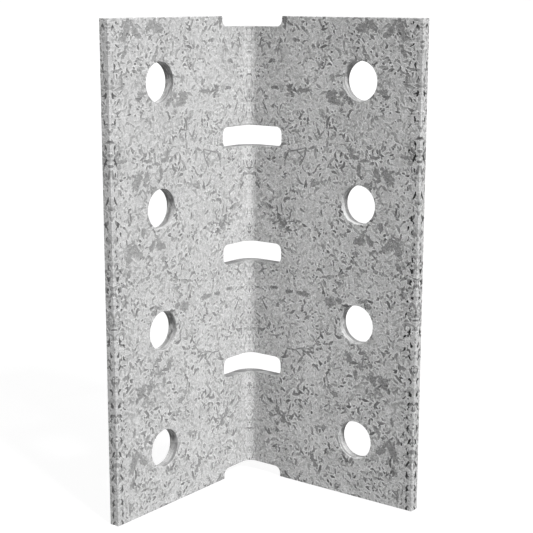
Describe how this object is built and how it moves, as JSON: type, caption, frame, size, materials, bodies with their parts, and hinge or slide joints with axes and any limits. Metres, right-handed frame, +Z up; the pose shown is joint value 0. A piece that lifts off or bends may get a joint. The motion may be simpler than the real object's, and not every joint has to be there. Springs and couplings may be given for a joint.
{
  "type": "angle bracket",
  "caption": "Right-angle bracket folded from one strip of galvanised sheet steel, with round bolt holes along both legs and relief slots across the fold.",
  "frame": {"origin": "centre of the bottom of the bracket's bounding box, on the plane that its lower end stands on", "axes": "+Z runs up the fold; +Y is the outward normal of the left leg and +X that of the right leg, so the inside of the angle opens towards -X and -Y"},
  "size_m": [0.05, 0.05, 0.112],
  "materials": {
    "galvanised_steel": "hot-dip zinc with a leafy grey spangle, satin"
  },
  "bodies": {
    "root": {"angle_bracket": "galvanised_steel"}
  },
  "joints": []
}
